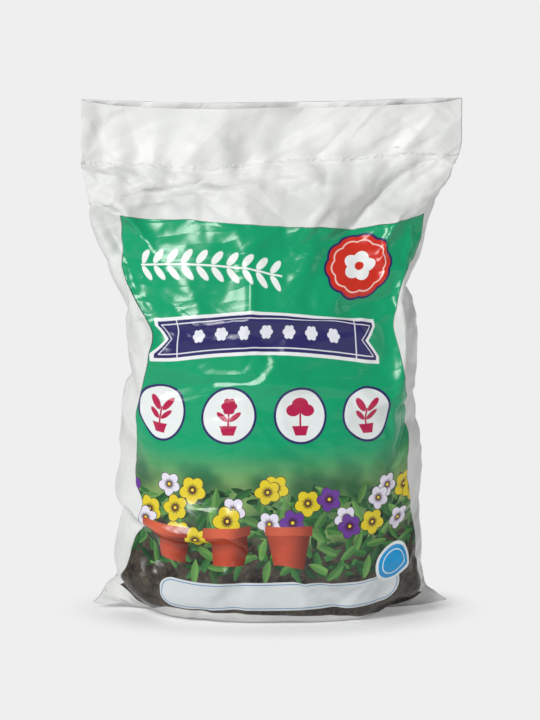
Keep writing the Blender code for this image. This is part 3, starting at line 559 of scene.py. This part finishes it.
body_share *= np.clip(places[:, 2] / FOLD_CLEAR_OF_FLOOR, 0, 1)
places += outward * (on_body * body_share)[:, None]
# above the seal both lips bend together, and just below it the two films still do
lip_share = np.clip((run_now - SEAL_RUN + LIP_CREASES_START) / LIP_FADE, 0, 1)
places[:, 1] += on_lips * lip_share
bag.data.vertices.foreach_set("co", places.reshape(-1))
bag.data.update()
bag.data.shade_smooth()


class Wire:
    """One socket of a material's nodes. Sums on it become Math nodes."""

    def __init__(self, tree, socket=None):
        self.tree, self.socket = tree, socket

    def node(self, kind, values, output=0, **settings):
        """Another node: its settings first, then the values or wires of its sockets."""
        made = self.tree.nodes.new("ShaderNode" + kind)
        for name, value in settings.items():
            setattr(made, name, value)
        for key, value in values.items():
            if isinstance(value, Wire):
                self.tree.links.new(value.socket, made.inputs[key])
            else:
                made.inputs[key].default_value = value
        return Wire(self.tree, made.outputs[output])

    def math(self, operation, *values, clamp=False):
        """A Math node on values and wires."""
        return self.node("Math", dict(enumerate(values)), operation=operation, use_clamp=clamp)

    def __add__(self, other):
        return self.math("ADD", self, other)

    def __sub__(self, other):
        return self.math("SUBTRACT", self, other)

    def __rsub__(self, other):
        return self.math("SUBTRACT", other, self)

    def __mul__(self, other):
        return self.math("MULTIPLY", self, other)

    def __truediv__(self, other):
        return self.math("DIVIDE", self, other)

    def __abs__(self):
        return self.math("ABSOLUTE", self)

    __radd__ = __add__
    __rmul__ = __mul__

    def least(self, other):
        """The smaller of two."""
        return self.math("MINIMUM", self, other)

    def most(self, other):
        """The larger of two."""
        return self.math("MAXIMUM", self, other)

    def fade(self, start, end):
        """0 before start and 1 after end."""
        return self.node("MapRange", {0: self, 1: start, 2: end}, interpolation_type="SMOOTHSTEP")

    def colours(self, below, above):
        """A colour above another, by this share."""
        return self.node("Mix", {0: self, 6: below, 7: above}, 2, data_type="RGBA")

    def put(self, shader, name):
        """Lead this into a shader's socket."""
        self.tree.links.new(self.socket, shader.inputs[name])


def ink(red, green, blue):
    """A colour as it looks, from 0 to 255, for a shader's socket."""
    looks = np.array([red, green, blue]) / 255
    linear = np.where(looks > 0.04045, ((looks + 0.055) / 1.055) ** 2.4, looks / 12.92)
    return (*(float(value) for value in linear), 1.0)


def printed(distance, edge=0.0005):
    """1 inside a printed shape, where its distance is below nought, with a clean edge."""
    return distance.math("MULTIPLY_ADD", distance, -1 / edge, 0.5, clamp=True)


def oval(x, y, wide, high):
    """The distance from an oval of these half sizes."""
    across, up = x / wide, y / high
    return (x.math("SQRT", across * across + up * up) - 1) * min(wide, high)


def box(x, y, wide, high, corner):
    """The distance from a box of these half sizes, with round corners."""
    across = (abs(x) - (wide - corner)).most(0)
    up = (abs(y) - (high - corner)).most(0)
    return x.math("SQRT", across * across + up * up) - corner


def turned(x, y, degrees):
    """The same place as x and y on axes turned by an angle."""
    cos, sin = math.cos(math.radians(degrees)), math.sin(math.radians(degrees))
    return x * cos + y * sin, y * cos - x * sin


def petals(x, y, radius, number, depth):
    """The distance from a flower with a number of round petals."""
    angle = x.math("ARCTAN2", y, x)
    edge = abs(x.math("COSINE", angle * (number / 2))) * (radius * depth) + radius * (1 - depth / 2)
    return x.math("SQRT", x * x + y * y) - edge


NAVY = ink(38, 35, 95)
RED = ink(203, 44, 26)
SILVER = ink(226, 228, 236)
polythene = bpy.data.materials.new("printed_polythene")
polythene.use_nodes = True
surface = polythene.node_tree.nodes["Principled BSDF"]
start = Wire(polythene.node_tree)
film_map = start.node("UVMap", {}, uv_map="film")
print_map = start.node("UVMap", {}, uv_map="print")
around = start.node("SeparateXYZ", {0: film_map}, 0)
run = start.node("SeparateXYZ", {0: film_map}, 1)
x = start.node("SeparateXYZ", {0: print_map}, 0)
y = start.node("SeparateXYZ", {0: print_map}, 1)

# the white film, greyer where the dark filling shows through it, and mottled with painted shade:
# soft grey patches that stand in for the shading of its gentle undulations
painted_shade_and_gloss_mottle = start.node("TexNoise", {"Vector": film_map, "Scale": 18.0, "Detail": 3.0})
filling_and_painted_shade = (SEAL_RUN - run).fade(-0.01, 0.06) * 0.45 + painted_shade_and_gloss_mottle.fade(0.38, 0.66) * 0.55
white = filling_and_painted_shade.colours(ink(230, 231, 229), ink(208, 210, 208))

# the printed field: green above, a soft meadow below it, and dark soil at the bottom
blur = start.node("TexNoise", {"Vector": print_map, "Scale": 30.0, "Detail": 1.5})
grain = start.node("TexNoise", {"Vector": print_map, "Scale": 260.0, "Detail": 4.0})
crumbs = start.node("TexVoronoi", {"Vector": print_map, "Scale": 330.0})
meadow = blur.fade(0.35, 0.68).colours(ink(50, 98, 62), ink(128, 160, 96))
lumps = start.node("TexNoise", {"Vector": print_map, "Scale": 70.0, "Detail": 3.0})
soil = lumps.fade(0.30, 0.72) * 0.5 + grain.fade(0.40, 0.75) * 0.35 + crumbs.fade(0.3, 0.1) * 0.2
soil = soil.colours(ink(27, 24, 23), ink(98, 88, 76))
ridge = y + blur * 0.03 + x.fade(0.03, 0.15) * 0.026
field = ridge.fade(0.106, 0.124).colours(soil, meadow)
field = (y + blur * 0.02).fade(0.128, 0.172).colours(field, ink(0, 155, 104))


def scattered(step, degrees, spread):
    """Motifs strewn on the print: the place on each, its own chance number, its height."""
    strewn = start.node("Mapping", {0: print_map, 2: (0, 0, math.radians(degrees))})
    settings = {"Vector": strewn, "Scale": 1 / step, "Randomness": spread}
    middle = start.node("TexVoronoi", settings, 2)
    number = start.node("SeparateColor", {0: start.node("TexVoronoi", settings, 1)}, 0)
    away = start.node("VectorMath", {0: strewn, 1: middle}, operation="SUBTRACT")
    away_x = start.node("SeparateXYZ", {0: away}, 0)
    away_y = start.node("SeparateXYZ", {0: away}, 1)
    middle_x = start.node("SeparateXYZ", {0: middle}, 0)
    middle_y = start.node("SeparateXYZ", {0: middle}, 1)
    cos, sin = math.cos(math.radians(degrees)), math.sin(math.radians(degrees))
    return away_x, away_y, number, middle_y * cos - middle_x * sin


# a bed of leaves and flowers, each kind in layers that overlap
clump = start.node("TexNoise", {"Vector": print_map, "Scale": 16.0, "Detail": 1.0})
for step, degrees, dark, light in [
    (0.0150, 12, ink(16, 44, 28), ink(34, 82, 44)),
    (0.0165, 57, ink(26, 74, 40), ink(62, 122, 62)),
    (0.0180, 33, ink(42, 98, 50), ink(112, 162, 84)),
]:
    leaf_x, leaf_y, number, grows_at = scattered(step, degrees, 0.55)
    cos = start.math("COSINE", number * 40)
    sin = start.math("SINE", number * 40)
    along, beside = leaf_x * cos + leaf_y * sin, leaf_y * cos - leaf_x * sin
    blade = abs(beside) + along * along * (0.42 / step) - 0.19 * step
    tips = 0.098 + clump * 0.040
    grows = grows_at.math("LESS_THAN", grows_at, tips) * grows_at.fade(0.040, 0.041)
    tone = number * 0.7 + beside.fade(-0.0002, 0.0002) * 0.35
    field = (printed(blade) * grows).colours(field, tone.colours(dark, light))

BLOOM_RADIUS = 0.0112
for step, degrees, lowest, highest in [(0.032, 20, 0.080, 0.128), (0.036, -38, 0.070, 0.120)]:
    bloom_x, bloom_y, number, grows_at = scattered(step, degrees, 0.34)
    grows = grows_at.fade(lowest, lowest + 0.001) - grows_at.fade(highest, highest + 0.001)
    edge = petals(bloom_x, bloom_y, BLOOM_RADIUS, 5, 0.30) + number * 0.0018
    tint = number.fade(0.52, 0.53).colours(ink(222, 200, 44), ink(104, 58, 148))
    tint = number.fade(0.72, 0.73).colours(tint, ink(224, 220, 234))
    far = start.math("SQRT", bloom_x * bloom_x + bloom_y * bloom_y)
    angle = start.math("ARCTAN2", bloom_y, bloom_x)
    between = abs(start.math("COSINE", angle * 2.5)).fade(0.32, 0.0)
    tint = (far + edge * 0.4 - between * 0.0030).fade(-0.0020, 0.0040).colours(
        ink(66, 26, 40), tint)
    tint = printed(far - 0.0014).colours(tint, ink(238, 208, 60))
    rim = printed(edge + 0.0007).colours(ink(70, 72, 46), tint)
    field = (printed(edge) * grows).colours(field, rim)

# three clay pots stand in front of them
FIRST_POT = 0.19 * PRINT_WIDTH
POT_STEP = 0.18 * PRINT_WIDTH
POT_HALF = 0.0165  # half its height, and half its width at the middle
pot_number = start.math("ROUND", (x - FIRST_POT) / POT_STEP).most(0).least(2)
pot_x = x - FIRST_POT - pot_number * POT_STEP
pot_y = y - 0.185 * PRINT_HEIGHT
pot = printed((abs(pot_x) - (pot_y * 0.16 + POT_HALF)).most(abs(pot_y) - POT_HALF))
rim = printed(box(pot_x, pot_y - 0.0175, 0.0205, 0.0042, 0.001))
clay = abs(pot_x + 0.006).fade(0.0, 0.024).colours(ink(188, 76, 52), ink(104, 34, 24))
field = pot.colours(field, clay)
rim_clay = abs(pot_x + 0.006).fade(0.0, 0.028).colours(ink(210, 96, 66), ink(140, 52, 36))
field = rim.colours(field, rim_clay)

# a white sprig at the upper left
SPRIG_START, SPRIG_END, LEAF_STEP = 0.024, 0.160, 0.0136
stem_y = y - 0.313 - start.math("SINE", (x - SPRIG_START) * 26) * 0.006
leaf_x = (start.math("FRACT", (x - SPRIG_START) / LEAF_STEP) - 0.5) * LEAF_STEP
leaf_x, leaf_y = turned(leaf_x, abs(stem_y) - 0.0075, 52)
sprig = printed(oval(leaf_x, leaf_y, 0.0078, 0.0032)).most(printed(abs(stem_y) - 0.0009))
sprig = sprig * x.fade(SPRIG_START, SPRIG_START + 0.0005) * x.fade(SPRIG_END, SPRIG_END - 0.0005)
field = sprig.colours(field, ink(232, 236, 233))

# a red rosette with a navy edge at the upper right
rose_x, rose_y = x - 0.81 * PRINT_WIDTH, (y - 0.885 * PRINT_HEIGHT) * 1.18
rose = petals(rose_x, rose_y, 0.0335, 10, 0.07)
heart = petals(rose_x, rose_y, 0.0150, 5, 0.28)
field = printed(rose - 0.0025).colours(field, NAVY)
field = printed(rose).colours(field, RED)
field = printed(abs(rose + 0.0055) - 0.0008).colours(field, ink(238, 200, 190))
field = printed(heart).colours(field, ink(236, 238, 238))
field = printed(oval(rose_x, rose_y, 0.0048, 0.0048)).colours(field, RED)

# a navy ribbon with a white edge, arched, its tails cut to a notch
ribbon_x = x - 0.485 * PRINT_WIDTH
ribbon_y = y - 0.72 * PRINT_HEIGHT + ribbon_x * ribbon_x * 0.9
tail = abs(ribbon_x) - 0.108 + (0.013 - abs(ribbon_y)).most(0) * 0.8
ribbon = tail.most(abs(ribbon_y) - 0.0165)
field = printed(ribbon - 0.0030).colours(field, ink(232, 234, 236))
field = printed(ribbon).colours(field, NAVY)
field = printed(abs(ribbon + 0.0032) - 0.0005).colours(field, SILVER)
seam = printed(abs(abs(ribbon_x) - 0.088) - 0.0006).least(printed(ribbon))
field = seam.colours(field, SILVER)
BLOSSOM_STEP = 0.022
blossom_x = start.math("FRACT", ribbon_x / BLOSSOM_STEP + 0.5) * BLOSSOM_STEP - BLOSSOM_STEP / 2
blossoms = printed(petals(blossom_x, ribbon_y, 0.0056, 6, 0.24))
blossoms = blossoms * printed(abs(ribbon_x) - 0.0768)
field = blossoms.colours(field, SILVER)

# four white medallions, each with a crimson plant
FIRST_MEDALLION = 0.15 * PRINT_WIDTH
MEDALLION_STEP = 0.22 * PRINT_WIDTH
MEDALLION_RADIUS = 0.0228
medal = start.math("ROUND", (x - FIRST_MEDALLION) / MEDALLION_STEP).most(0).least(3)
medal_x = x - FIRST_MEDALLION - medal * MEDALLION_STEP
medal_y = y - 0.515 * PRINT_HEIGHT
disc = oval(medal_x, medal_y, MEDALLION_RADIUS, MEDALLION_RADIUS)
field = printed(disc - 0.0022).colours(field, NAVY)
field = printed(disc).colours(field, ink(226, 232, 231))
stalk = printed(box(medal_x, medal_y + 0.003, 0.0009, 0.0085, 0.0008))
tray_sides = abs(medal_x) - (medal_y + 0.0135) * 0.35 - 0.0062
tray = printed(tray_sides.most(abs(medal_y + 0.0130) - 0.0042))
low_leaf = turned(abs(medal_x) - 0.0058, medal_y + 0.001, 38)
low_leaves = printed(oval(*low_leaf, 0.0062, 0.0023))
high_leaf = turned(abs(medal_x) - 0.0062, medal_y - 0.0082, 48)
high_leaves = printed(oval(*high_leaf, 0.0074, 0.0032))
blossom = printed(petals(medal_x, medal_y - 0.0082, 0.0066, 6, 0.22))
side_crowns = printed(oval(abs(medal_x) - 0.0066, medal_y - 0.0048, 0.0066, 0.0052))
crown = side_crowns.most(printed(oval(medal_x, medal_y - 0.0098, 0.0078, 0.0060)))
is_flower = printed(abs(medal - 1) - 0.5, 0.01)
is_tree = printed(abs(medal - 2) - 0.5, 0.01)
head = is_flower * blossom + is_tree * crown + (1 - is_flower - is_tree) * high_leaves
plant = stalk.most(tray).most(low_leaves * (1 - is_tree)).most(head)
field = plant.colours(field, ink(178, 24, 72))

# a bare pale label and a plain blue roundel at the bottom
label = box(x - 0.53 * PRINT_WIDTH, y - 0.058 * PRINT_HEIGHT, 0.1100, 0.0135, 0.0125)
field = printed(label).colours(field, ink(206, 211, 213))
field = printed(abs(label + 0.0022) - 0.0004).colours(field, ink(70, 130, 175))
ROUNDEL_RADIUS = 0.0178
roundel_x, roundel_y = x - 0.875 * PRINT_WIDTH, y - 0.118 * PRINT_HEIGHT
roundel = oval(roundel_x, roundel_y, ROUNDEL_RADIUS, ROUNDEL_RADIUS)
field = printed(roundel).colours(field, ink(222, 228, 231))
field = printed(roundel + 0.0028).colours(field, ink(24, 145, 205))
field = printed(abs(roundel + 0.0070) - 0.0005).colours(field, ink(214, 232, 240))

# the white film, with the printed field inside the print's own edges
share_map = start.node("UVMap", {}, uv_map="print_share")
share_x = start.node("SeparateXYZ", {0: share_map}, 0)
share_y = start.node("SeparateXYZ", {0: share_map}, 1)
panel = printed(abs(share_x - 0.5) - 0.5, 0.003) * printed(abs(share_y - 0.5) - 0.5, 0.002)
panel.colours(white, field).put(surface, "Base Color")

# gloss: the bare film is duller than the printed part
(painted_shade_and_gloss_mottle * 0.10 + (0.46 - panel * 0.27)).put(surface, "Roughness")
surface.inputs["Specular IOR Level"].default_value = 0.42

# crisp flat facets where the film is crumpled: how many to a metre, which way they lie, how
# long they are for their width, how steep they are, and where
warp = start.node("TexNoise", {"Vector": film_map, "Scale": 10.0, "Detail": 1.0}, 1)
warped = start.node("Mix", {0: 0.02, 4: film_map, 5: warp}, 1, data_type="VECTOR")
crumpled = start.node("TexNoise", {"Vector": film_map, "Scale": 8.0, "Detail": 1.0})
crumpled = crumpled.fade(0.32, 0.60) * (1 - panel * 0.45)
right_top = around.fade(-0.02, 0.05) * run.fade(0.40, 0.45)
left_end = around.fade(-0.08, -0.14) * run.fade(0.38, 0.46)
height = 0
for number, degrees, long, steep, where in [
    (14, 24, 2.0, 0.100, crumpled),
    (30, -35, 2.4, 0.090, crumpled),
    (80, 50, 2.0, 0.040, crumpled),
    (24, 42, 6.0, 0.130, right_top),
    (34, 20, 1.6, 0.120, left_end),
    (38, 4, 4.0, 0.060, panel),
]:
    lie = start.node("Mapping", {0: warped, 2: (0, 0, math.radians(degrees)), 3: (long, 1, 1)},
                     vector_type="TEXTURE")
    facets = start.node("TexVoronoi", {"Vector": lie, "Scale": number}, distance="MANHATTAN")
    height = height + facets * (steep / number) * where

# and the crinkled line the sealing bars leave
crinkle = start.node("TexNoise", {"Vector": film_map, "Scale": 240.0, "Detail": 3.0})
wander = start.node("TexNoise", {"Vector": film_map, "Scale": 60.0, "Detail": 3.0})
seal_line = abs(run - SEAL_RUN - (wander - 0.5) * 0.008).fade(0.0036, 0.0)
height = height + seal_line * (crinkle.fade(0.30, 0.70) - 0.3) * 0.0009
bump = start.node("Bump", {"Height": height, "Strength": 1.0, "Distance": 1.0})
bump.put(surface, "Normal")
bag.data.materials.append(polythene)
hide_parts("bag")
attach(bag, "root")


# The floor and the backdrop.
# A matt white floor that takes the bag's soft shadow. Farther out it fades into the plain pale
# backdrop, and a little of the backdrop shows through it all over.
BACKDROP = ink(239, 239, 239)
FLOOR_WHITE = 0.97
FADE_FROM, FADE_TO = 0.12, 0.205  # metres to the side, and two thirds of it to the front
BACKDROP_SHARE = 0.25
bpy.ops.object.select_all(action="DESELECT")
bpy.ops.mesh.primitive_plane_add(size=12, location=(0, 0, -0.0003))
bpy.ops.object.transform_apply()
floor = bpy.context.object
floor.name = floor.data.name = "floor"
white_floor = bpy.data.materials.new("white_floor")
white_floor.use_nodes = True
matt = white_floor.node_tree.nodes["Principled BSDF"]
matt.inputs["Base Color"].default_value = (FLOOR_WHITE, FLOOR_WHITE, FLOOR_WHITE, 1)
matt.inputs["Roughness"].default_value = 1
matt.inputs["Specular IOR Level"].default_value = 0
floor_wire = Wire(white_floor.node_tree)
place = floor_wire.node("TexCoord", {}, 3)
place = floor_wire.node("VectorMath", {0: place, 1: (1, 1.5, 1)}, operation="MULTIPLY")
distance = floor_wire.node("VectorMath", {0: place}, 1, operation="LENGTH")
glow = floor_wire.node("Emission", {0: BACKDROP, 1: 1.0})
matt_wire = Wire(white_floor.node_tree, matt.outputs[0])
seen = floor_wire.node("LightPath", {}, 0) * BACKDROP_SHARE
glow_share = distance.fade(FADE_FROM, FADE_TO).most(seen)
mixed = floor_wire.node("MixShader", {0: glow_share, 1: matt_wire, 2: glow})
mixed.put(white_floor.node_tree.nodes["Material Output"], "Surface")
floor.data.materials.append(white_floor)


# The studio light.
# A large soft lamp high at the front left, a weak one at the right, and pale walls all round.
WALL_LIGHT = 0.27  # how strongly the walls light the bag, where they look like 1
WALL_GLINT = 0.4  # how bright the walls are in the film's gloss
studio = bpy.data.worlds.new("studio")
studio.use_nodes = True
walls = studio.node_tree.nodes["Background"]
walls.inputs["Color"].default_value = BACKDROP
wall_wire = Wire(studio.node_tree)
is_camera = wall_wire.node("LightPath", {}, 0)
is_glossy = wall_wire.node("LightPath", {}, 3)
is_through = wall_wire.node("LightPath", {}, 6)
seen = is_camera.most(is_glossy * WALL_GLINT).most(is_through)
seen.most(WALL_LIGHT).put(walls, "Strength")
bpy.context.scene.world = studio


def soft_lamp(name, size, power, location, target):
    """A square studio lamp that faces a point."""
    bpy.ops.object.light_add(type="AREA", location=location)
    lamp = bpy.context.object
    lamp.name = name
    lamp.data.size = size
    lamp.data.energy = power
    away = np.array(location) - np.array(target)
    turn = math.atan2(away[0], -away[1])
    lamp.rotation_euler = (math.atan2(math.hypot(away[0], away[1]), away[2]), 0, turn)
    return lamp


soft_lamp("key_lamp", 1.3, 106, (-1.8, -2.6, 2.35), (0, 0, 0.25))
soft_lamp("side_lamp", 0.6, 1.5, (1.5, -0.6, 0.7), (0, 0, 0.25))


# The camera.
# A long lens a little above the middle of the bag, looking down at it by six degrees.
AIM = (-0.00185, 0, 0.231)  # the middle of the picture
FAR = 1.9  # from there to the lens
DOWN = math.radians(6)
bpy.ops.object.camera_add(
    location=(AIM[0], AIM[1] - FAR * math.cos(DOWN), AIM[2] + FAR * math.sin(DOWN)),
    rotation=(math.pi / 2 - DOWN, 0, 0),
)
camera = bpy.context.object
camera.name = "camera"
camera.data.lens = 103.4
camera.data.sensor_width = 36
camera.data.clip_start = 0.01
bpy.context.scene.camera = camera
bpy.context.scene.view_settings.view_transform = "Standard"
